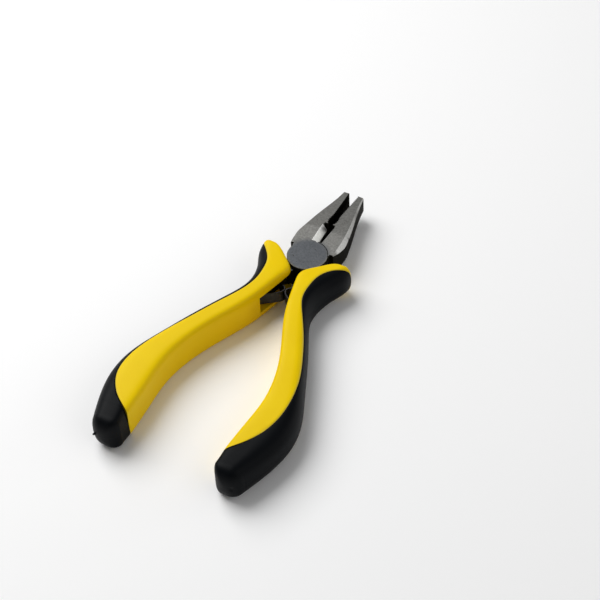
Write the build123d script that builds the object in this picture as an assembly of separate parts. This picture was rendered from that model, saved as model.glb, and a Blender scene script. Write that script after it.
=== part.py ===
from build123d import *
import os

# Lineman (combination) pliers, 115 mm long when shut, with moulded two-colour grips and
# a pair of opening leaf springs. Millimetres. +Z is up, +Y runs from the pivot to the jaw
# tips, and the origin is on the pivot axis at the underside of the head.
#
# Both forged halves have one shape: the lower half is the upper half turned half a turn
# about the Y axis at mid-thickness. Every outline below is for the SHUT tool: a jaw on the
# -X side, its tang and grip on the +X side. Each half is then opened by HALF_OPEN.

os.makedirs("parts", exist_ok=True)

# ---- driving dimensions ----
HALF_OPEN = 2.75        # degrees that each half is opened in the rest position
HEAD_T = 8.0            # thickness of the head
TIP_T = 5.6             # thickness of the jaw tips
TAPER_Y = 12.0          # the jaws start to thin here
TIP_Y = 30.6            # pivot axis to jaw tips
DISC_R = 6.1            # radius of the round lap of each half
SHOULDER_GAP = 0.1      # between a lap and the round shoulder that it turns in
LAP_GAP = 0.04          # between the two laps at mid-thickness
MEET_GAP = 0.03         # from the meeting plane to each jaw at the tips, shut

NOSE_Y = 19.0           # rear end of the flat toothed nose
NOSE_RELIEF = 0.1       # how far the nose stands back at its rear end, so tips meet first
PIPE_Y = 14.9           # rear end of the hollow pipe grip
PIPE_DEPTH = 0.5        # depth of the pipe grip's hollow
NOTCH_DEPTH = 1.1       # relief notch between the pipe grip and the cutter
NOTCH_LEN = 0.8
CUT_TOP = 1.45          # how far back the cutter's bevel starts on the face of the jaw
CUT_DEPTH = 2.4         # depth of the cutter's bevel below the face
CUT_END_Y = 6.25        # rear end of the cutting edge
TOOTH_PITCH = 0.75
TOOTH_DEPTH = 0.3
FIRST_TOOTH = 0.7       # place of the first groove ahead of the pipe grip, in pitches
CUT_REACH = 2.0         # how far the jaw's cutting shapes reach past the meeting plane
OVERSHOOT = 0.01        # how far a cut starts outside a face

JAW_ROOT_Y = 1.0        # rear end of the jaw's block, inside the joint
JAW_STEP = [(-5.9, 2.6), (-5.4, JAW_ROOT_Y)]    # round the step at the jaw's root
EDGE_BREAK = 0.15       # small chamfer on the laps
NECK_DROP = 0.6         # step from the head's face down to the neck that joins lap and tang

RIVET_R = 2.5
RIVET_FLARE_R = 3.3     # radius of the flared ends
RIVET_FLARE_H = 0.9
RIVET_CLEAR = 0.04      # running clearance in the upper half

TANG_T = 4.5            # thickness of the tang that the grip is moulded on
TANG_END_Y = -58.0

GRIP_T = 11.6           # height of the grips
GRIP_EDGE_R = 3.2       # rounding along the grips
GRIP_END_R = 4.6        # radius of the handle end in plan
GRIP_END_X = 15.5       # middle of that round end, shut
GRIP_END_Y = -79.9
GRIP_END_FROM = 192     # degrees round the end where its arc starts and stops
GRIP_END_TO = 342
HORN_T = 10.6           # height of the finger guard
HORN_EDGE_R = 1.0

JOINT_ROOM = 0.5        # between the laps and the front of the grips
WINDOW_H = 6.0          # height of the window in each grip's inner wall
WINDOW_REAR_Y = -21.4

SPRING_T = 0.45         # leaf spring
SPRING_H = 4.0
SPRING_ROOT_Y = -9.4    # middle of the riveted foot
SPRING_FOOT = 2.2       # length of the foot
SPRING_CROWN_Y = -14.0  # where the two leaves meet
SPRING_TAIL_Y = -20.2
SEAT_GAP = 0.02         # between a leaf and the tang
SPRING_GAP = 0.06       # between the two leaves' crowns at rest, each side of the middle
STUD_R = 0.6            # rivet that holds the leaf
STUD_HEAD_R = 1.1
STUD_HEAD_H = 0.4
STUD_DEPTH = 1.6        # how far the stud goes into the tang
TAIL_LEAN = 0.35        # sideways lean of the leaf's tail, per unit along it
LEAF_STEPS = 40         # places along the leaf's middle line that carry its two sides

MID_Z = HEAD_T / 2
FAR = 60.0              # reach of cutting solids, well outside the part

# ---- plan outlines, shut ----
# jaw from its shoulder to its tip: place along it, distance from the middle to the outer edge of
# its face, distance to its side wall, and height of the slanted facet between the two
JAW_STATIONS = [
    (3.2, 6.75, 6.95, 0.35), (4.6, 6.69, 7.25, 0.75), (6.0, 6.63, 7.45, 1.05),
    (7.4, 6.54, 7.58, 1.28), (8.9, 6.41, 7.65, 1.40), (10.4, 6.21, 7.45, 1.40),
    (12.0, 5.95, 7.05, 1.40), (13.9, 5.60, 6.58, 1.40), (15.8, 5.20, 6.05, 1.40),
    (17.6, 4.78, 5.50, 1.35), (19.5, 4.30, 4.90, 1.25), (21.7, 3.71, 4.19, 1.14),
    (24.0, 3.10, 3.50, 1.00), (27.2, 2.33, 2.68, 0.76), (30.6, 1.75, 1.95, 0.45)]
# tang: inner side from the joint to its end, then outer side back
TANG_INNER = [(0.6, -5.4), (2.9, -8.0), (3.3, -10.5), (4.4, -16.6), (7.0, -25.6), (11.4, -36.5),
              (14.6, -46.0), (16.6, TANG_END_Y)]
TANG_OUTER = [(19.2, TANG_END_Y), (17.4, -46.0), (14.6, -36.5), (10.6, -25.6), (8.2, -16.6), (7.8, -10.5),
              (7.6, -6.5), (6.6, -2.6)]
NECK_IN_LAP = [(-2.0, -5.0), (3.0, 0.0)]        # corners of the neck inside the lap
# grip: inner side from the front towards the end, then outer side back to the front
GRIP_INNER = [(1.15, -2.0), (1.15, -9.0), (2.3, -16.6), (4.8, -26.3), (9.1, -36.5), (12.3, -46.7),
              (13.3, -56.7), (12.3, -66.7)]
GRIP_OUTER = [(24.9, -67.3), (24.8, -57.3), (21.3, -47.1), (17.3, -36.9), (12.9, -26.7), (10.1, -18.5),
              (9.6, -12.0), (8.6, -2.0)]
GRIP_FRONT_HEADING = (-0.1, 1)                  # of the outer side where it ends at the front
GRIP_FRONT = [(1.0, -7.7), (5.6, -3.9), (9.2, -1.2)]
# finger guard at the front of the grip
HORN_FRONT = [(4.6, -4.7), (6.4, -3.2), (9.2, -1.2), (11.5, 0.1), (13.4, 0.1)]
HORN_TIP = (14.8, -1.6)
HORN_BACK = [(14.3, -4.3), (12.2, -8.6), (10.4, -13.5), (9.9, -18.0)]
# line between the hard core (inner side) and the soft cover (outer side), from guard to end
SEAM = [(16.5, -2.6), (14.6, -2.9), (12.2, -3.5), (9.75, -5.2), (7.9, -8.4), (6.9, -11.6), (6.9, -17.3),
        (8.4, -20.9), (11.3, -26.5), (14.9, -34.7), (17.7, -41.6), (20.1, -48.3), (21.1, -55.8),
        (20.8, -61.1), (19.5, -66.3), (17.0, -70.9), (13.4, -74.8), (9.0, -77.5)]


def slab(face, low, high):
    """A flat outline raised from one height to another."""
    return extrude(Plane.XY.offset(low) * face, high - low)


def outline(*edges):
    """A face inside lines that follow each other."""
    return make_face(Wire([edge for line in edges for edge in line.edges()]))


def polygon(points):
    """A face inside straight sides."""
    return make_face(Polyline(*points, close=True))


def disc(radius, low, high):
    """A round slab on the pivot axis."""
    return slab(Circle(radius), low, high)


def opened(shape):
    """Open the upper half from shut to the rest position."""
    return shape.rotate(Axis.Z, HALF_OPEN)


def other_half(shape):
    """The twin of an opened piece: half a turn about the Y axis at mid-thickness."""
    return shape.rotate(Axis((0, 0, MID_Z), (0, 1, 0)), 180)


# ---- steel half ----
def jaw_section(y, face_x, side_x, facet_h):
    """Cross-section of the jaw: a block with both outer edges slanted, thinner beyond TAPER_Y."""
    drop = max(y - TAPER_Y, 0) / (TIP_Y - TAPER_Y) * (HEAD_T - TIP_T) / 2
    low, high = drop, HEAD_T - drop
    section = polygon([(-MEET_GAP, low), (-face_x, low), (-side_x, low + facet_h),
                       (-side_x, high - facet_h), (-face_x, high), (-MEET_GAP, high)])
    return Plane.XZ.offset(-y) * section


def jaw_blank():
    """The jaw before its inner side is cut, with a step at its root beside the joint."""
    blank = loft([jaw_section(*station) for station in JAW_STATIONS], ruled=True)
    front = JAW_STATIONS[0][0] + SHOULDER_GAP
    root = [(-MEET_GAP, JAW_ROOT_Y), (-MEET_GAP, front), (1 - JAW_STATIONS[0][1], front)] + JAW_STEP
    return blank + slab(polygon(root), 0, HEAD_T)


def set_back(y):
    """How far the nose, or the pipe grip's hollow behind it, stands back from the meeting plane."""
    if y > NOSE_Y:
        return NOSE_RELIEF * (TIP_Y - y) / (TIP_Y - NOSE_Y) + MEET_GAP
    across = 2 * (y - PIPE_Y) / (NOSE_Y - PIPE_Y) - 1
    return PIPE_DEPTH - (PIPE_DEPTH - NOSE_RELIEF) * across ** 2


def tooth_cuts():
    """V grooves across the pipe grip and the flat nose."""
    cuts = []
    behind, ahead = int((NOSE_Y - PIPE_Y) / TOOTH_PITCH), int((TIP_Y - NOSE_Y) / TOOTH_PITCH)
    for i in range(-behind, ahead):
        y = NOSE_Y + (i + FIRST_TOOTH) * TOOTH_PITCH
        back = set_back(y)
        tooth = [(-back - TOOTH_DEPTH, y), (-back + TOOTH_DEPTH, y - TOOTH_PITCH),
                 (-back + TOOTH_DEPTH, y + TOOTH_PITCH)]
        cuts.append(slab(polygon(tooth), -1, HEAD_T + 1))
    return cuts


def jaw():
    """One jaw: toothed nose, hollow pipe grip, relief notch and side cutter."""
    body, reach, notch_y = jaw_blank(), CUT_REACH, PIPE_Y - NOTCH_LEN
    nose = polygon([(-MEET_GAP, TIP_Y + 1), (-MEET_GAP - NOSE_RELIEF, NOSE_Y),
                    (reach, NOSE_Y), (reach, TIP_Y + 1)])
    mid_y = (NOSE_Y + PIPE_Y) / 2
    pipe = outline(
        ThreePointArc((-NOSE_RELIEF, NOSE_Y), (-PIPE_DEPTH, mid_y), (-NOSE_RELIEF, PIPE_Y)),
        Line((-NOSE_RELIEF, PIPE_Y), (reach, PIPE_Y)), Line((reach, PIPE_Y), (reach, NOSE_Y)),
        Line((reach, NOSE_Y), (-NOSE_RELIEF, NOSE_Y)))
    notch = polygon([(-NOTCH_DEPTH, PIPE_Y), (-NOTCH_DEPTH, notch_y), (reach, notch_y), (reach, PIPE_Y)])
    for cut in (nose, pipe, notch):
        body -= slab(cut, -1, HEAD_T + 1)
    # the cutter: a bevel from each face, with a flat land between them
    for face_z, inward in ((HEAD_T, -1), (0, 1)):
        bevel = Plane.XZ.offset(-notch_y) * polygon(
            [(-CUT_TOP, face_z - inward * OVERSHOOT), (reach, face_z - inward * OVERSHOOT),
             (reach, face_z + inward * CUT_DEPTH), (-MEET_GAP, face_z + inward * CUT_DEPTH)])
        body -= extrude(bevel, notch_y - CUT_END_Y)
    for cut in tooth_cuts():
        body -= cut
    return body


def tang():
    """The flat arm that carries the grip."""
    return slab(polygon(TANG_INNER + TANG_OUTER), MID_Z - TANG_T / 2, MID_Z + TANG_T / 2)


def upper_lap():
    """The round lap on the upper side of the joint."""
    lap = disc(DISC_R, MID_Z + LAP_GAP / 2, HEAD_T)
    return chamfer(lap.edges().group_by(Axis.Z)[-1], EDGE_BREAK)


def half():
    """A whole forged half, shut: jaw on -X, upper lap, tang on +X, without its rivet hole."""
    clear = disc(DISC_R + SHOULDER_GAP, -1, MID_Z + LAP_GAP / 2)
    corners = [NECK_IN_LAP[0], TANG_INNER[0], TANG_INNER[1], TANG_OUTER[-2], TANG_OUTER[-1], NECK_IN_LAP[1]]
    neck = slab(polygon(corners), MID_Z + LAP_GAP / 2, HEAD_T - NECK_DROP)
    return (jaw() + tang() - clear) + upper_lap() + neck


def rivet(extra):
    """The pivot rivet, flush at both faces, grown by extra all round."""
    body = disc(RIVET_R + extra, -extra, HEAD_T + extra)
    for base, way in ((0, 1), (HEAD_T, -1)):
        flare = Plane((0, 0, base), x_dir=(1, 0, 0), z_dir=(0, 0, way)) * Pos(0, 0, RIVET_FLARE_H / 2)
        body += flare * Cone(RIVET_FLARE_R + extra, RIVET_R + extra, RIVET_FLARE_H)
    return body


# ---- grip ----
def end_arc():
    """The round end of the handle, with its directions at both ends."""
    middle = Vector(GRIP_END_X, GRIP_END_Y)

    def spot(angle):
        return middle + Vector(GRIP_END_R, 0).rotate(Axis.Z, angle)

    def heading(angle):
        return Vector(0, 1).rotate(Axis.Z, angle)
    arc = ThreePointArc(spot(GRIP_END_FROM), spot((GRIP_END_FROM + GRIP_END_TO) / 2), spot(GRIP_END_TO))
    return arc, heading(GRIP_END_FROM), heading(GRIP_END_TO)


def grip_blank():
    """The whole grip: a rounded handle and the finger guard at its front."""
    arc, going_in, coming_out = end_arc()
    inner = Spline(*GRIP_INNER, arc @ 0, tangents=[(0, -1), going_in])
    outer = Spline(arc @ 1, *GRIP_OUTER, tangents=[coming_out, GRIP_FRONT_HEADING])
    plan = outline(inner, arc, outer, Line(GRIP_OUTER[-1], GRIP_INNER[0]))
    shaft = slab(plan, MID_Z - GRIP_T / 2, MID_Z + GRIP_T / 2)
    rims = [e for e in shaft.edges().filter_by(Plane.XY) if e.center().Y < GRIP_INNER[1][1]]
    shaft = fillet(rims, GRIP_EDGE_R)
    ahead = GRIP_FRONT + [(FAR, GRIP_FRONT[-1][1]), (FAR, FAR), (-FAR, FAR), (-FAR, GRIP_FRONT[0][1])]
    shaft -= slab(polygon(ahead), -FAR, FAR)
    back = Polyline(HORN_BACK[-1], (GRIP_FRONT[1][0], HORN_BACK[-1][1]), HORN_FRONT[0])
    plan = outline(Spline(*HORN_FRONT, HORN_TIP, *HORN_BACK), back)
    horn = slab(plan, MID_Z - HORN_T / 2, MID_Z + HORN_T / 2)
    rims = horn.edges().filter_by(Plane.XY).sort_by(SortBy.LENGTH)[-2:]
    return shaft + fillet(rims, HORN_EDGE_R)


def core_side():
    """Everything on the inner side of the seam."""
    end_y, front = SEAM[-1][1], SEAM[0]
    around = Polyline(SEAM[-1], (-FAR, end_y), (-FAR, FAR), (front[0], FAR), front)
    return slab(outline(Spline(*SEAM), around), -FAR, FAR)


def tang_side(y):
    """How far the tang's inner side is from the middle, shut, at one place along it."""
    for (x0, y0), (x1, y1) in zip(TANG_INNER, TANG_INNER[1:]):
        if y1 <= y <= y0:
            return x0 + (x1 - x0) * (y - y0) / (y1 - y0)
    raise ValueError("not on the tang")


def window():
    """The slot in the grip's inner wall, which lays the tang's inner side bare."""
    bare = [p for p in TANG_INNER if p[1] > WINDOW_REAR_Y] + [(tang_side(WINDOW_REAR_Y), WINDOW_REAR_Y)]
    mouth = [(-HEAD_T, WINDOW_REAR_Y), (-HEAD_T, bare[0][1])]
    return slab(polygon(bare + mouth), MID_Z - WINDOW_H / 2, MID_Z + WINDOW_H / 2)


def grip(steel):
    """The hard core and the soft cover of one grip, shut, moulded on the steel half."""
    whole = grip_blank() - steel - disc(DISC_R + JOINT_ROOM, -FAR, FAR)
    return (whole & core_side()) - window(), whole - core_side()


# ---- opening springs ----
def on_tang(y, lift):
    """A point at a distance from the tang's bare side, in the rest position."""
    turn = Rotation(0, 0, HALF_OPEN)
    return (turn * Pos(tang_side(y) - lift, y, 0)).position


def leaf_spring():
    """A bowed leaf at rest: foot on the tang, crown at the middle, tail back on the tang."""
    half_t = SPRING_T / 2
    front, back = SPRING_ROOT_Y + SPRING_FOOT / 2, SPRING_ROOT_Y - SPRING_FOOT / 2
    crown = Vector(half_t + SPRING_GAP, SPRING_CROWN_Y)
    foot = [on_tang(front, half_t + SEAT_GAP), on_tang(back, half_t + SEAT_GAP)]
    tail = on_tang(SPRING_TAIL_Y, half_t + SEAT_GAP)
    along = (foot[1] - foot[0]).normalized()
    bow = Spline(foot[1], crown, tail, tangents=[along, (0, -1), (TAIL_LEAN, -1)])
    middle = Wire([Line(*foot), bow])
    places = [i / LEAF_STEPS for i in range(LEAF_STEPS + 1)]
    side = [middle @ place for place in places]
    normal = [(middle % place).rotate(Axis.Z, 90) * half_t for place in places]
    one, other = [p + n for p, n in zip(side, normal)], [p - n for p, n in zip(side, normal)]
    strip = outline(Spline(*one), Line(one[-1], other[-1]), Spline(*other), Line(other[0], one[0]))
    return slab(strip, MID_Z - SPRING_H / 2, MID_Z + SPRING_H / 2)


def stud(extra):
    """The rivet that holds a leaf's foot, at rest, its shank grown by extra."""
    seat = on_tang(SPRING_ROOT_Y, 0)
    outward = (on_tang(SPRING_ROOT_Y, 1) - seat).normalized()
    frame = Plane((seat.X, seat.Y, MID_Z), z_dir=outward)
    shank = frame.offset(-STUD_DEPTH - extra) * Circle(STUD_R + extra)
    top = SEAT_GAP + SPRING_T
    head = frame.offset(top) * Circle(STUD_HEAD_R)
    return extrude(shank, STUD_DEPTH + top + STUD_HEAD_H / 2 + extra) + extrude(head, STUD_HEAD_H)


# ---- every piece, in the rest position ----
def make_parts():
    """Name and solid of each piece."""
    pieces = {}
    shut_half = half()
    core, cover = grip(shut_half)
    steel = opened(shut_half) - stud(0)
    pieces["upper_half"] = steel - rivet(RIVET_CLEAR)
    pieces["lower_half"] = other_half(steel) - rivet(0)
    pieces["pivot_rivet"] = rivet(0)
    leaf = leaf_spring() - stud(0)
    for side, placed in (("upper", lambda shape: shape), ("lower", other_half)):
        pieces[f"{side}_grip_core"] = placed(opened(core) - stud(0))
        pieces[f"{side}_grip_cover"] = placed(opened(cover))
        pieces[f"{side}_leaf_spring"] = placed(leaf)
        pieces[f"{side}_spring_stud"] = placed(stud(0))
    return pieces


for name, piece in make_parts().items():
    piece.label = name
    export_step(piece, f"parts/{name}.step")
    print(f"{name:20s} {len(piece.solids())} solid {piece.volume:9.2f} mm3 valid {piece.is_valid}")
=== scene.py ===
import bpy
import bmesh
import math
import numpy as np
from mathutils import Matrix, Vector


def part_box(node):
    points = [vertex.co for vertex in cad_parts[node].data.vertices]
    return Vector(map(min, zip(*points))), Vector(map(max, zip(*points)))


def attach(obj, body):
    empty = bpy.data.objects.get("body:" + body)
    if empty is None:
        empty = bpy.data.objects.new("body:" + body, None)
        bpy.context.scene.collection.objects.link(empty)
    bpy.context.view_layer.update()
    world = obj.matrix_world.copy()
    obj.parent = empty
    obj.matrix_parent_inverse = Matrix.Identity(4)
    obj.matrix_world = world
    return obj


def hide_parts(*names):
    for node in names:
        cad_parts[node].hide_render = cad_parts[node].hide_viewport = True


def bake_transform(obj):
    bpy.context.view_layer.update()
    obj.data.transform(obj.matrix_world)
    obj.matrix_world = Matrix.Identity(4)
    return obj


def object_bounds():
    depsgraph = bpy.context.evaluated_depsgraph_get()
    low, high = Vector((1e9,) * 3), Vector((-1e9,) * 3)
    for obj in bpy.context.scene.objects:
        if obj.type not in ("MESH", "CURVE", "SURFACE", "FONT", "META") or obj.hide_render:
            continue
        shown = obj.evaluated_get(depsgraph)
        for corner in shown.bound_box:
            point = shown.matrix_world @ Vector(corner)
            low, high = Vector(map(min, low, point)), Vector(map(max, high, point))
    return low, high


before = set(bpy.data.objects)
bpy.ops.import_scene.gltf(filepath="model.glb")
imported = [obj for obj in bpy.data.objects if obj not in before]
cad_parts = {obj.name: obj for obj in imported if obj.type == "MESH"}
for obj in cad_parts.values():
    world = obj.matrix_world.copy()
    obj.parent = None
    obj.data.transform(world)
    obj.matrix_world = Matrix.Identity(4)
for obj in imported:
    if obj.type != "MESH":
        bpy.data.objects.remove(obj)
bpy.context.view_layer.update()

MM = 0.001
HALF_OPEN = math.radians(2.75)      # each half is drawn shut, then opened by this
HEAD_LOW, HEAD_HIGH = (corner.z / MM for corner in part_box("pivot_rivet"))
MID_Z = (HEAD_LOW + HEAD_HIGH) / 2  # both halves are alike about this height
GRIP_LOW, GRIP_HIGH = (corner.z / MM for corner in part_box("upper_grip_core"))
GRIP_HALF = (GRIP_HIGH - GRIP_LOW) / 2


# ---------------------------------------------------------------- curves
def spline(points, where, slopes=(None, None)):
    """Cubic spline through points sorted by their first number, read at where.
    Second derivatives come from the usual three-term equations; an end slope that is
    None leaves that end free to run straight."""
    x, y = np.array(sorted(points), float).T
    n, h = len(x), np.diff(x)
    system, right = np.zeros((n, n)), np.zeros(n)
    for i in range(1, n - 1):
        system[i, i - 1:i + 2] = h[i - 1], 2 * (h[i - 1] + h[i]), h[i]
        right[i] = 6 * ((y[i + 1] - y[i]) / h[i] - (y[i] - y[i - 1]) / h[i - 1])
    system[0, 0] = system[-1, -1] = 1
    if slopes[0] is not None:
        system[0, :2], right[0] = (2 * h[0], h[0]), 6 * ((y[1] - y[0]) / h[0] - slopes[0])
    if slopes[1] is not None:
        system[-1, -2:], right[-1] = (h[-1], 2 * h[-1]), 6 * (slopes[1] - (y[-1] - y[-2]) / h[-1])
    m = np.linalg.solve(system, right)
    i = np.clip(np.searchsorted(x, where) - 1, 0, n - 2)
    a, b = (x[i + 1] - where) / h[i], (where - x[i]) / h[i]
    return a * y[i] + b * y[i + 1] + ((a**3 - a) * m[i] + (b**3 - b) * m[i + 1]) * h[i]**2 / 6


def smoothstep(low, high, x):
    """0 below low, 1 above high, and an S curve between them."""
    t = np.clip((x - low) / (high - low), 0, 1)
    return t * t * (3 - 2 * t)


def ease(count):
    """Numbers from 0 to 1 that crowd together at both ends: half of 1 - cos(pi t)."""
    return (1 - np.cos(np.pi * np.linspace(0, 1, count))) / 2


def signed_power(x, power):
    """The sign of x times its size raised to a power."""
    return np.sign(x) * np.abs(x)**power


# ---------------------------------------------------------------- meshes
SHARP_DEG = 38            # edges that turn by more than this stay crisp
WELD = 2e-6               # points nearer than this, in metres, are one point


def open_half(points):
    """Turns shut-tool points about the pivot to the rest position: x' = c x - s y, y' = s x + c y."""
    c, s = math.cos(HALF_OPEN), math.sin(HALF_OPEN)
    x, y = points[..., 0], points[..., 1]
    return np.stack([c * x - s * y, s * x + c * y, points[..., 2]], -1)


def other_half(points):
    """The twin half: half a turn about the Y axis at mid-thickness, x' = -x, z' = 2 mid - z."""
    return points * [-1, 1, -1] + [0, 0, 2 * MID_Z]


def for_body(points, body):
    """Shut-tool points of the upper half, opened, and turned over for the lower half."""
    opened = open_half(points)
    return opened if body == "upper" else other_half(opened)


def grid_piece(name, points, body, material, replaces=(), attribute=None):
    """A closed tube from an array of sections, (stations, round, 3) in millimetres.
    Neighbouring stations are joined by four-sided faces, the last point of a section
    joins its first, and ends that shrink to a point are merged. attribute is the name and
    the values of a number that each point carries."""
    stations, count = points.shape[:2]
    index = np.arange(stations * count).reshape(stations, count)
    turned = np.roll(index, -1, 1)
    faces = np.stack([index[:-1], turned[:-1], turned[1:], index[1:]], -1).reshape(-1, 4)
    mesh = bpy.data.meshes.new(name)
    mesh.from_pydata((points.reshape(-1, 3) * MM).tolist(), [], faces.tolist())
    if attribute is not None:
        layer = mesh.attributes.new(attribute[0], "FLOAT", "POINT")
        layer.data.foreach_set("value", attribute[1].reshape(-1).astype(np.float32))
    work = bmesh.new()
    work.from_mesh(mesh)
    bmesh.ops.remove_doubles(work, verts=work.verts, dist=WELD)
    open_edges = [e for e in work.edges if len(e.link_faces) == 1]
    if open_edges:
        bmesh.ops.holes_fill(work, edges=open_edges, sides=0)
    bmesh.ops.recalc_face_normals(work, faces=work.faces)
    for face in work.faces:
        face.smooth = True
    work.to_mesh(mesh)
    work.free()
    mesh.set_sharp_from_angle(angle=math.radians(SHARP_DEG))
    piece = bpy.data.objects.new(name, mesh)
    bpy.context.scene.collection.objects.link(piece)
    mesh.materials.append(material)
    if replaces:
        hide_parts(*replaces)
    if body:
        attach(piece, body)
    return piece


# ---------------------------------------------------------------- shader maths
class Sock:
    """A socket or number in a material, with arithmetic that adds the nodes it needs."""

    def __init__(self, tree, link):
        self.tree, self.link = tree, link

    def node(self, kind, settings=None, values=None, out=0):
        """A node of that kind, with its settings and then its inputs set, as a new socket."""
        made = self.tree.nodes.new(kind)
        for key, value in (settings or {}).items():
            setattr(made, key, value)
        for key, value in (values or {}).items():
            self.put(made.inputs[key], value)
        return Sock(self.tree, made.outputs[out])

    def put(self, target, value):
        """Links or sets one input."""
        if isinstance(value, Sock):
            self.tree.links.new(value.link, target)
        else:
            target.default_value = value

    def math(self, operation, *values):
        """One Math node."""
        return self.node("ShaderNodeMath", {"operation": operation}, dict(enumerate(values)))

    def __add__(self, other): return self.math("ADD", self, other)
    def __radd__(self, other): return self.math("ADD", other, self)
    def __sub__(self, other): return self.math("SUBTRACT", self, other)
    def __rsub__(self, other): return self.math("SUBTRACT", other, self)
    def __mul__(self, other): return self.math("MULTIPLY", self, other)
    def __rmul__(self, other): return self.math("MULTIPLY", other, self)
    def __pow__(self, other): return self.math("POWER", self, other)

    def abs(self): return self.math("ABSOLUTE", self)
    def max(self, other): return self.math("MAXIMUM", self, other)
    def min(self, other): return self.math("MINIMUM", self, other)

    def step(self, low, high):
        """0 below low and 1 above high, smooth between."""
        return self.node("ShaderNodeMapRange", {"interpolation_type": "SMOOTHSTEP"},
                         {"Value": self, "From Min": low, "From Max": high})

    def mix(self, colour_a, colour_b):
        """colour_a where this is 0 and colour_b where it is 1."""
        return self.node("ShaderNodeMix", {"data_type": "RGBA"}, {0: self, 6: colour_a, 7: colour_b}, 2)


def rgb(red, green, blue):
    """A colour with full alpha."""
    return (red, green, blue, 1.0)


class Finish:
    """A material being built: its shader, and the patterns its maths starts from."""

    def __init__(self, name):
        self.material = bpy.data.materials.new(name)
        self.material.use_nodes = True
        self.tree = self.material.node_tree
        self.shader = self.tree.nodes["Principled BSDF"]
        self.start = Sock(self.tree, None)
        self.coords = self.start.node("ShaderNodeTexCoord", out=3)

    def axis(self, which):
        """One object coordinate, in millimetres."""
        split = self.start.node("ShaderNodeSeparateXYZ", None, {0: self.coords}, "XYZ".index(which))
        return split * (1 / MM)

    def noise(self, size_mm, detail=3.0, roughness=0.5, stretch=(1, 1, 1)):
        """Cloudy noise whose blobs are about size_mm across, from 0 to 1. A stretch factor under 1
        draws them out along that axis."""
        where = self.start.node("ShaderNodeMapping", None, {"Vector": self.coords, "Scale": stretch})
        return self.start.node("ShaderNodeTexNoise", None, {
            "Vector": where, "Scale": 0.5 / (size_mm * MM), "Detail": detail, "Roughness": roughness})

    def attribute(self, name):
        """A number that the piece's own mesh carries."""
        return self.start.node("ShaderNodeAttribute", {"attribute_name": name}, out=2)

    def pits(self, spacing_mm, size):
        """1 inside small round spots scattered about spacing_mm apart, 0 elsewhere."""
        cells = self.start.node("ShaderNodeTexVoronoi", None, {
            "Vector": self.coords, "Scale": 1 / (spacing_mm * MM), "Randomness": 1.0})
        return 1 - cells.step(size * 0.6, size)

    def pit_at(self, x, y, radius):
        """1 inside one round spot of the plan at (x, y) millimetres, 0 elsewhere."""
        dx, dy = self.axis("X") - x, self.axis("Y") - y
        return 1 - ((dx * dx + dy * dy) ** 0.5).step(radius * 0.5, radius)

    def normal_z(self):
        """How far the face looks up or down, from 0 for a wall to 1 for a flat top."""
        geometry = self.start.node("ShaderNodeNewGeometry", out=1)
        return self.start.node("ShaderNodeSeparateXYZ", None, {0: geometry}, 2).abs()

    def set(self, **values):
        """Sets the shader's inputs: numbers directly, patterns by a link."""
        for key, value in values.items():
            self.start.put(self.shader.inputs[key.replace("_", " ")], value)

    def fixed(self, values):
        """Sets inputs that are the same all over the surface."""
        for key, value in values.items():
            self.shader.inputs[key].default_value = value

    def bump(self, height, depth_mm, strength=1.0):
        """Raises the surface by height times depth_mm."""
        self.set(Normal=self.start.node("ShaderNodeBump", None, {
            "Height": height, "Distance": depth_mm * MM, "Strength": strength}))


# ---------------------------------------------------------------- finishes
# Where the wheel and the blast have been on the head, and where the painted highlight and shade go, in
# millimetres.
JOINT_BLEND = 5.2, 7.6             # the joint's finer finish fades out between these radii
BEVEL_FROM = 4.0, 5.5              # the bevels' bright finish and painted highlight start between these places
CUTTER_FRONT = 14.1, 14.3          # the cutter ends here, at the relief notch
CUTTER_SIDE = 2.3, 2.6             # and lies within this of the middle
NECK = -8.2, -6.6                  # behind this the steel is near black
PITS = (-3.55, -2.02, 0.28), (7.3, 12.5, 0.3)      # two larger pits: x, y, radius


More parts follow.
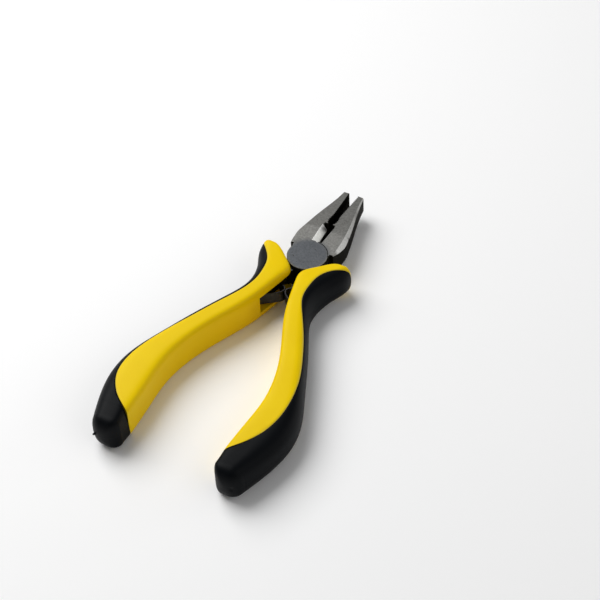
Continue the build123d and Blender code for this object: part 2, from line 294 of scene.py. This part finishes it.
def ground_steel():
    """Forged steel. Top and bottom are ground and blasted to a matte warm grey, the round joint is finer and
    bluer, the cutter and the long outer bevel are bright from the wheel with a painted highlight added, and
    the side walls, picked by facing sideways, are painted near black as shade and dark reflection;
    the tang behind the neck is near black too."""
    f = Finish("ground_steel")
    x, y = f.axis("X"), f.axis("Y")
    radius = (x * x + y * y) ** 0.5
    tilt = f.normal_z()
    grain, cloud = f.noise(0.3, 4.0, 0.65), f.noise(3.5, 3.0, 0.5)
    grinding = f.noise(0.14, 2.0, 0.5, stretch=(1, 0.08, 0.3))
    flat = tilt.step(0.9, 0.96)
    joint = (1 - radius.step(*JOINT_BLEND)) * flat
    bevel = tilt.step(0.3, 0.4) * (1 - tilt.step(0.9, 0.94)) * y.step(*BEVEL_FROM)
    cutter = bevel * (1 - y.step(*CUTTER_FRONT)) * (1 - x.abs().step(*CUTTER_SIDE))
    tang = 1 - y.step(*NECK)
    # The side walls are picked by how far they face sideways and painted near black as shade and dark
    # reflection; the tang behind the neck is near black too.
    walls_shade_and_dark_tang = (1 - tilt.step(0.25, 0.4)).max(tang)
    tone = (grain * 1.5 + cloud * 0.2 - 0.35).max(0.0).min(1.0)
    plain = tone.mix(rgb(0.125, 0.124, 0.116), rgb(0.330, 0.327, 0.311))
    disc = tone.mix(rgb(0.078, 0.083, 0.090), rgb(0.160, 0.169, 0.182))
    wall_shade_and_tang_black = tone.mix(rgb(0.006, 0.006, 0.005), rgb(0.022, 0.021, 0.016))
    # Near white: the wheel's bright grinding plus a painted highlight, strongest on the cutter.
    ground_bright_and_highlight = tone.mix(rgb(0.72, 0.72, 0.70), rgb(1.0, 1.0, 0.98))
    wheel_and_highlight = bevel * (0.32 + cutter * 0.68)
    base = walls_shade_and_dark_tang.mix(wheel_and_highlight.mix(joint.mix(plain, disc), ground_bright_and_highlight), wall_shade_and_tang_black)
    spots = f.pits(2.3, 0.085) * (1 - cutter)
    for pit in PITS:
        spots = spots.max(f.pit_at(*pit))
    f.set(Base_Color=(spots * 0.85).mix(base, rgb(0.045, 0.042, 0.038)), Metallic=1.0 - walls_shade_and_dark_tang * 0.25,
          Roughness=0.46 + cloud * 0.06 - bevel * 0.08 - joint * 0.06)
    f.fixed({"Specular IOR Level": 0.2, "Specular Tint": rgb(0.30, 0.29, 0.27)})
    f.bump(grain * 0.7 + grinding * 0.4 - spots * 1.2, 0.022, 0.6)
    return f.material


def spring_steel():
    """Spring strip painted near black as the shade it sits in between the handles, smooth, with rolling
    streaks and patches worn paler.
    """
    f = Finish("spring_steel")
    streak = f.noise(0.3, 3.0, 0.5, stretch=(1, 1, 0.15))
    wear = f.noise(1.2, 3.0, 0.6).step(0.52, 0.7)
    # Near black: painted shade and dark reflection for the strip between the handles.
    shade_dark_steel = streak.mix(rgb(0.025, 0.026, 0.030), rgb(0.070, 0.070, 0.075))
    f.set(Base_Color=(wear * 0.35).mix(shade_dark_steel, rgb(0.16, 0.15, 0.14)), Metallic=1.0,
          Roughness=0.42 + streak * 0.15)
    f.bump(streak, 0.01, 0.5)
    return f.material


def yellow_plastic():
    """Hard moulded plastic, satin, faintly mottled by its mould, a little scuffed and specked, and
    duller in a thin line along the seam."""
    f = Finish("yellow_plastic")
    mottle, fine = f.noise(5.0, 3.0, 0.5), f.noise(0.22, 3.0, 0.6)
    scuff = f.noise(0.5, 4.0, 0.7, stretch=(1, 0.25, 1)).step(0.64, 0.8)
    specks = f.pits(2.9, 0.035)
    edge = f.attribute("near_seam")
    body = mottle.mix(rgb(0.80, 0.545, 0.0), rgb(0.88, 0.625, 0.0005))
    body = (scuff * 0.22).mix(body, rgb(0.72, 0.47, 0.01))
    body = (specks * 0.6).mix(body, rgb(0.28, 0.19, 0.02))
    f.set(Base_Color=(edge * 0.4).mix(body, rgb(0.46, 0.40, 0.11)),
          Roughness=0.36 + fine * 0.12 + scuff * 0.1)
    f.fixed({"Specular IOR Level": 0.10, "Subsurface Weight": 0.05, "Subsurface Scale": 0.3,
             "Subsurface Radius": (0.004, 0.0025, 0.0005)})
    f.bump(fine + mottle * 0.8, 0.014, 0.6)
    return f.material


def black_rubber():
    """Soft moulded rubber: blue-black, matte, finely grained, with a few dust specks and the
    mould's parting line round its outer side at mid-height."""
    f = Finish("black_rubber")
    grain, cloud = f.noise(0.16, 4.0, 0.65), f.noise(5.0, 3.0, 0.55)
    dust = f.pits(1.7, 0.04) * cloud.step(0.5, 0.62)
    parting = 1 - (f.axis("Z") - MID_Z).abs().step(0.05, 0.14)
    body = cloud.mix(rgb(0.0006, 0.0011, 0.0019), rgb(0.0016, 0.0025, 0.0038))
    f.set(Base_Color=(dust * 0.3).mix(body, rgb(0.10, 0.10, 0.095)), Roughness=0.42 + cloud * 0.12)
    f.fixed({"Specular IOR Level": 0.085})
    f.bump(grain + parting * 2.0, 0.014, 0.7)
    return f.material


STEEL, SPRING = ground_steel(), spring_steel()
YELLOW, BLACK = yellow_plastic(), black_rubber()


def refinish(node, material):
    """Gives a carried-over CAD piece its finish."""
    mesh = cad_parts[node].data
    mesh.materials.clear()
    mesh.materials.append(material)


for node, material in (("upper_half", STEEL), ("lower_half", STEEL), ("pivot_rivet", STEEL),
                       ("upper_spring_stud", SPRING), ("lower_spring_stud", SPRING)):
    refinish(node, material)


# ---------------------------------------------------------------- grips
# Plan of the grip on the +X side of the shut tool, as distance from the middle (x) at each
# place along it (y), in millimetres.
TIP_Y = 0.3                                  # front of the finger guard
END_X, END_Y, END_R = 15.5, -79.9, 4.6       # round end of the handle
END_FROM = -81.0                             # behind this the sides are the round end's circle
INNER_SIDE = [(-80.9, 11.0), (-66.7, 12.3), (-56.7, 13.3), (-46.7, 12.3), (-36.5, 9.1), (-26.3, 4.8),
              (-16.6, 2.3), (-11.0, 1.2), (-8.6, 0.95), (-7.2, 1.35), (-3.7, 5.1), (-1.2, 8.6), (0.0, 11.0)]
OUTER_SIDE = [(-81.3, 19.9), (-67.3, 24.9), (-57.3, 24.8), (-47.1, 21.3), (-36.9, 17.3), (-26.7, 12.9),
              (-18.2, 10.0), (-13.5, 10.4), (-8.6, 12.2), (-4.3, 14.3), (-1.8, 14.75), (-0.4, 14.2),
              (0.15, 13.3)]
SEAM_TIP = -0.8                              # the seam's front end, at the guard's tip
SEAM_REAR = -76.8                            # its rear end, across the inner wall
# The seam where core and cover meet differs between the two faces of a grip, and so, because
# the grips are turned over to each other, between the two grips seen from above.
TOP_SEAM = [(-75.3, 13.0), (-70.9, 16.6), (-66.2, 19.0), (-59.9, 20.5), (-52.8, 20.5),
            (-45.4, 19.1), (-38.3, 16.6), (-31.3, 13.6), (-23.3, 9.4), (-18.2, 7.0), (-12.2, 6.7),
            (-8.4, 7.3), (-5.5, 8.8), (-3.8, 10.6), (-2.8, 12.2), (-1.9, 13.6), (SEAM_TIP, 15.0)]
UNDER_SEAM = [(-75.7, 13.4), (-71.7, 18.4), (-67.7, 21.2), (-61.6, 22.7),
              (-54.6, 21.9), (-46.7, 19.3), (-38.7, 15.7), (-31.0, 12.4), (-23.8, 9.1), (-16.6, 7.3),
              (-12.4, 7.6), (-9.8, 8.2), (-6.5, 9.9), (-4.3, 11.8), (-2.6, 13.4), (SEAM_TIP, 15.0)]
# Inner side of the steel tang, which the window in the core lays bare.
TANG_SIDE = [(-36.5, 11.4), (-25.6, 7.0), (-16.6, 4.4), (-10.5, 3.3), (-8.0, 2.9), (-5.4, 0.6)]
INNER_POWER, OUTER_POWER = 5.2, 2.5          # how square each side of the section is: 2 is an ellipse
WINDOW_REAR, WINDOW_HALF_H = -21.4, 3.0      # the window's rear end and half its height
STEP_WIDTH = 0.02                            # the window's rear wall rises over twice this
BEHIND_TANG = 0.3                            # from the tang's side to the wall behind the window
LEAN_IN, LEAN_TURN = 0.2, 0.75               # how far the inner wall is set back, and leans
LEAN_FRONT, LEAN_REAR = (-24, -40), (-80.5, -74)   # where the lean grows from none to full
GUARD_DROP, GUARD_FROM, GUARD_TO = 0.55, -14, -3   # the guard is lower than the handle
FRONT_ROUND, FRONT_POWER = 2.2, 2.6          # rounding of the grip's height at the front
END_FLAT, END_POWER = 0.6, 2.4               # and at the handle's end
GROOVE_W, GROOVE_DEEP = 0.22, 0.16           # the sunk line along the seam
OFF_FACE = 9                                 # a groove moved this far aside is no groove
GATE_ANGLE = math.radians(-66)               # place of the moulding gate on the round end
DIMPLE_DEEP, DIMPLE_R = 0.4, 0.5             # the pit of a gate that broke below the surface
STUB_R, STUB_TAPER, STUB_SUNK, STUB_LEN = 0.42, 0.35, 0.5, 1.3      # the stub of the other gate


def round_end(y):
    """Half the width of the round end at y: the square root of r^2 - (y - middle)^2."""
    return np.sqrt(np.maximum(END_R**2 - (y - END_Y)**2, 0))


def inner_side(y):
    """Inner side of the plan: the spline, then the round end as a circle."""
    return np.where(y < END_FROM, END_X - round_end(y), spline(INNER_SIDE, np.minimum(y, INNER_SIDE[-1][0])))


def outer_side(y):
    """Outer side of the plan: the spline, then the round end as a circle."""
    return np.where(y < END_FROM, END_X + round_end(y), spline(OUTER_SIDE, np.minimum(y, OUTER_SIDE[-1][0])))


def tang_side(y):
    """The tang's inner side, as straight runs between its corners."""
    places, sides = np.array(TANG_SIDE).T
    return np.interp(y, places, sides)


def seam_side(y, seam):
    """Where core and cover meet on one face: a spline from the inner side to the guard's tip."""
    inner, outer = inner_side(y), outer_side(y)
    line = spline([(SEAM_REAR, float(inner_side(SEAM_REAR)))] + seam, np.clip(y, SEAM_REAR, SEAM_TIP))
    return np.clip(np.where(y > SEAM_TIP, outer, np.where(y < SEAM_REAR, inner, line)), inner, outer)


def half_height(y):
    """Half the grip's height: full along the handle, lower at the guard, and at each end times
    (1 - t^n)^(1/n), a superellipse's edge, where t runs from 0 to 1 over the rounding."""
    body = GRIP_HALF - GUARD_DROP * smoothstep(GUARD_FROM, GUARD_TO, y)
    front = np.clip((y - (TIP_Y - FRONT_ROUND)) / FRONT_ROUND, 0, 1)
    back = np.clip((END_Y - END_FLAT - y) / (END_R - END_FLAT), 0, 1)
    return (body * (1 - front**FRONT_POWER)**(1 / FRONT_POWER)
            * (1 - back**END_POWER)**(1 / END_POWER))


def around(y, angle):
    """A point of the section at y: half a superellipse towards each side, by its angle.
    x = middle + half width * sign(cos) |cos|^(2/n), z = half height * sign(sin) |sin|^(2/n),
    where n is larger, and so the corner tighter, on the inner side. The inner wall leans along
    the handle: its x moves by a little inward plus a share of its height."""
    left, right = inner_side(y), outer_side(y)
    c, s = np.cos(angle), np.sin(angle)
    power = 2 / np.where(c < 0, INNER_POWER, OUTER_POWER)
    across, up = signed_power(c, power), signed_power(s, power)
    x = (left + right) / 2 + (right - left) / 2 * across
    lean = (LEAN_IN - LEAN_TURN * up) * smoothstep(*LEAN_FRONT, y) * smoothstep(*LEAN_REAR, y)
    return x + lean * np.maximum(-across, 0), half_height(y) * up


def seam_angle(y, seam):
    """Angle at which the section crosses the seam: pi is the inner side, 0 the outer.
    It undoes the superellipse: the arc cosine of sign(t) |t|^(n/2), where t is across."""
    left, right = inner_side(y), outer_side(y)
    t = np.clip((seam_side(y, seam) - (left + right) / 2) / np.maximum((right - left) / 2, 1e-6), -1, 1)
    return np.arccos(signed_power(t, np.where(t < 0, INNER_POWER, OUTER_POWER) / 2))


def sunk_seam(x, z, seam_x):
    """A fine groove beside the seam: |z| less depth * bell, where the bell is
    exp(-(distance / width)^2). Also gives the bell, as closeness to the seam."""
    bell = np.exp(-((x - seam_x) / GROOVE_W)**2)
    return z * (1 - np.minimum(GROOVE_DEEP * bell / np.maximum(np.abs(z), 1e-6), 0.9)), bell


def core_face(y, seam, count):
    """One face of the core, from the seam to the window's lip, with its closeness to the seam.
    The lip's angle is where the superellipse's height falls to the window's half height."""
    height = np.maximum(half_height(y), WINDOW_HALF_H)
    lip = np.arcsin((WINDOW_HALF_H / height)**(INNER_POWER / 2))
    start = seam_angle(y, seam)
    angle = start + (np.maximum(np.pi - lip, start + 1e-4) - start) * ease(count)[None]
    x, z = around(y, angle)
    z, bell = sunk_seam(x, z, seam_side(y, seam))
    return x, z, bell


def core_sections(stations=320, count=40):
    """The hard core: from the seam on top, round the inner side, to the seam below.
    Ahead of the window's rear edge the inner side is cut back, between its lips, to just behind
    the tang: x = the greater of the section's own side and the tang's side plus a gap."""
    y = SEAM_REAR + (TIP_Y - SEAM_REAR) * ease(stations)
    y = np.sort(np.r_[y, WINDOW_REAR - STEP_WIDTH, WINDOW_REAR + STEP_WIDTH])[:, None]
    x, z, near = core_face(y, TOP_SEAM, count)
    under_x, under_z, under_near = core_face(y, UNDER_SEAM, count)
    wall_x = np.where(y > WINDOW_REAR, np.maximum(x[:, -1:], tang_side(y) + BEHIND_TANG), x[:, -1:])
    wall_x = np.minimum(wall_x, np.minimum(x[:, :1], under_x[:, :1]))
    x = np.concatenate([x, wall_x, wall_x, under_x[:, ::-1]], 1)
    z = np.concatenate([z, z[:, -1:], -under_z[:, -1:], -under_z[:, ::-1]], 1)
    near = np.concatenate([near, 0 * wall_x, 0 * wall_x, under_near[:, ::-1]], 1)
    return np.stack([x, np.broadcast_to(y, x.shape), z + MID_Z], -1), near


def cover_sections(stations=300, count=80):
    """The soft cover: from the seam below, round the outer side, to the seam on top. Behind the
    seam's rear end the angle runs all the way round, and there is no groove."""
    low = END_Y - END_R
    y = (low + (SEAM_TIP - low) * ease(stations))[:, None]
    under, top = -seam_angle(y, UNDER_SEAM), seam_angle(y, TOP_SEAM)
    angle = under + (top - under) * ease(count)[None]
    x, z = around(y, angle)
    seam_x = np.where(angle > 0, seam_side(y, TOP_SEAM), seam_side(y, UNDER_SEAM))
    behind_seam = seam_x <= inner_side(y) + 1e-6
    z, _ = sunk_seam(x, z, seam_x - OFF_FACE * behind_seam)
    return np.stack([x, np.broadcast_to(y, x.shape), z + MID_Z], -1)


def gate():
    """The gate's place on the round end, and the way out of the surface there."""
    out = np.array([math.cos(GATE_ANGLE), math.sin(GATE_ANGLE), 0.0])
    return np.array([END_X, END_Y, MID_Z]) + END_R * out, out


def gate_dimple(points):
    """Sinks the broken gate's pit into the end: depth * exp(-(distance / radius)^2) inward."""
    place, out = gate()
    distance = np.linalg.norm(points - place, axis=-1)
    return points - DIMPLE_DEEP * np.exp(-(distance / DIMPLE_R)**2)[..., None] * out


def gate_stub_points(rings=14, around_count=20):
    """A gate's stub: a ring carried along the way out, from below the surface to a rounded tip.
    Its radius is r (1 - taper t) sqrt(1 - t^8), with t from 0 to 1 along it."""
    place, out = gate()
    along = np.linspace(0, 1, rings)
    radius = STUB_R * (1 - STUB_TAPER * along) * np.sqrt(np.maximum(1 - along**8, 0))
    side = np.array([-out[1], out[0], 0.0])
    turn = np.linspace(0, 2 * np.pi, around_count, endpoint=False)
    ring = np.cos(turn)[:, None] * side + np.sin(turn)[:, None] * np.array([0.0, 0.0, 1.0])
    return place + (along * STUB_LEN - STUB_SUNK)[:, None, None] * out + radius[:, None, None] * ring


def make_grips():
    """Core and cover of both grips, and the gate's mark on each cover."""
    core, near_seam = core_sections()
    cover = cover_sections()
    for body, walls_shade_and_dark_tang in (("upper", gate_dimple(cover)), ("lower", cover)):
        grid_piece(f"{body}_core_moulding", for_body(core, body), body, YELLOW,
                   [f"{body}_grip_core"], ("near_seam", near_seam))
        grid_piece(f"{body}_cover_moulding", for_body(walls_shade_and_dark_tang, body), body, BLACK,
                   [f"{body}_grip_cover"])
    grid_piece("lower_gate_stub", for_body(gate_stub_points(), "lower"), "lower", BLACK)


make_grips()


# ---------------------------------------------------------------- opening springs
LEAF_T, LEAF_H, LEAF_SEAT = 0.45, 4.0, 0.02  # thickness, height, and gap to the tang
FOOT_FRONT, FOOT_BACK, TAIL_Y = -8.3, -10.5, -20.2
CROWN_Y, CROWN_GAP = -14.0, 0.06             # where the leaves meet, and half the gap there
FOOT_PULL = 6.0                              # how strongly the strip keeps the foot's line
CROWN_PULL = (0, -6.0), (0, -6.5)            # direction at the crown, before and after it
TAIL_PULL = (2.3, -6.6)                      # direction in which the tail lands on the tang
EDGE_POWER = 0.25                            # how square the strip's edges are
FOLLOWS = 3.6             # a distance either side of the middle; nothing is moved by it


def on_tang(y):
    """Middle of a leaf that lies on the tang at y, in the rest position."""
    lying = np.array([float(tang_side(y)) - LEAF_T / 2 - LEAF_SEAT, y, 0.0])
    return open_half(lying)[:2]


def hermite(p0, p1, m0, m1, count):
    """Cubic from p0 to p1 with end directions m0 and m1: (2t^3 - 3t^2 + 1) p0
    + (t^3 - 2t^2 + t) m0 + (3t^2 - 2t^3) p1 + (t^3 - t^2) m1."""
    t = np.linspace(0, 1, count)[:, None]
    return ((2 * t**3 - 3 * t**2 + 1) * p0 + (t**3 - 2 * t**2 + t) * m0
            + (3 * t**2 - 2 * t**3) * p1 + (t**3 - t**2) * m1)


def leaf_points():
    """The strip: a flat section with rounded edges carried along its path, which is a straight
    foot, a cubic to the crown at the middle of the tool, and a cubic back to the tang. The
    section is sign(cos) |cos|^p times half the thickness, and the same with sin for the height."""
    foot_a, foot_b, tail = on_tang(FOOT_FRONT), on_tang(FOOT_BACK), on_tang(TAIL_Y)
    crown = np.array([LEAF_T / 2 + CROWN_GAP, CROWN_Y])
    along = (foot_b - foot_a) / np.linalg.norm(foot_b - foot_a)
    straight = foot_a + (foot_b - foot_a) * np.linspace(0, 1, 12)[:, None]
    first = hermite(foot_b, crown, along * FOOT_PULL, np.array(CROWN_PULL[0]), 40)
    second = hermite(crown, tail, np.array(CROWN_PULL[1]), np.array(TAIL_PULL), 50)
    path = np.concatenate([straight, first[1:], second[1:]])
    tangent = np.gradient(path, axis=0)
    tangent /= np.linalg.norm(tangent, axis=1)[:, None]
    across = np.stack([-tangent[:, 1], tangent[:, 0]], -1)
    angle = np.linspace(0, 2 * np.pi, 28, endpoint=False)
    u = signed_power(np.cos(angle), EDGE_POWER) * LEAF_T / 2
    v = signed_power(np.sin(angle), EDGE_POWER) * LEAF_H / 2
    flat = path[:, None] + across[:, None] * u[None, :, None]
    return np.concatenate([flat, np.broadcast_to(v[None, :, None] + MID_Z, flat.shape[:2] + (1,))], -1)


def make_springs():
    """Both leaves, each from its own half's tang at the foot to the middle of the tool."""
    strip = leaf_points()
    for body, mate, placed, side in (("upper", "lower", strip, 1), ("lower", "upper", other_half(strip), -1)):
        leaf = grid_piece(f"{body}_leaf", placed, None, SPRING, [f"{body}_leaf_spring"])
        side * FOLLOWS * MM
        -side * FOLLOWS * MM
        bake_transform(leaf)


make_springs()


# ---------------------------------------------------------------- studio
ROOM_LIGHT = 0.21
FLOOR_HALF = 3.0
LOOK_AT = Vector((0, -0.03, 0))              # the soft boxes face the middle of the tool
# name, place, side in metres, watts
SOFT_BOXES = (("key", (-0.44, 0.08, 0.58), 0.6, 5.6), ("fill", (0.55, -0.1, 0.35), 0.5, 0.6),
              ("side", (0.50, 0.42, 0.14), 0.34, 0.55))


def studio():
    """A pale floor, three soft boxes and an evenly lit room."""
    floor_mesh = bpy.data.meshes.new("floor")
    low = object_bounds()[0].z
    corners = [(x * FLOOR_HALF, y * FLOOR_HALF, low) for x, y in ((-1, -1), (1, -1), (1, 1), (-1, 1))]
    floor_mesh.from_pydata(corners, [], [(0, 1, 2, 3)])
    floor = bpy.data.objects.new("floor", floor_mesh)
    bpy.context.scene.collection.objects.link(floor)
    paint = Finish("pale_floor")
    paint.set(Base_Color=rgb(0.97, 0.97, 0.97), Roughness=0.7)
    floor_mesh.materials.append(paint.material)
    world = bpy.data.worlds.new("room")
    world.use_nodes = True
    world.node_tree.nodes["Background"].inputs["Color"].default_value = rgb(1, 1, 1)
    world.node_tree.nodes["Background"].inputs["Strength"].default_value = ROOM_LIGHT
    bpy.context.scene.world = world
    for name, place, size, watts in SOFT_BOXES:
        light = bpy.data.lights.new(name, "AREA")
        light.size, light.energy = size, watts
        lamp = bpy.data.objects.new(name, light)
        lamp.location = place
        lamp.rotation_mode = "QUATERNION"
        lamp.rotation_quaternion = (LOOK_AT - Vector(place)).to_track_quat("-Z", "Y")
        bpy.context.scene.collection.objects.link(lamp)


EYE = Vector((0.17035, -0.29915, 0.34517))
FORWARD = Vector((-0.34869, 0.60092, -0.71924)).normalized()
RIGHTWARD = Vector((0.88172, 0.47052, -0.03434))
FOCAL_MM, SENSOR_MM = 97.57, 36.0


def camera():
    """Looking down on the tool from behind the right-hand grip, as a long lens would."""
    lens = bpy.data.cameras.new("camera")
    lens.lens, lens.sensor_width = FOCAL_MM, SENSOR_MM
    lens.clip_start, lens.clip_end = 0.01, 20
    eye = bpy.data.objects.new("camera", lens)
    right = (RIGHTWARD - FORWARD * RIGHTWARD.dot(FORWARD)).normalized()
    up = right.cross(FORWARD)
    eye.matrix_world = Matrix.Translation(EYE) @ Matrix((right, up, -FORWARD)).transposed().to_4x4()
    bpy.context.scene.collection.objects.link(eye)
    bpy.context.scene.camera = eye


studio()
camera()
bpy.context.scene.view_settings.view_transform = "Standard"
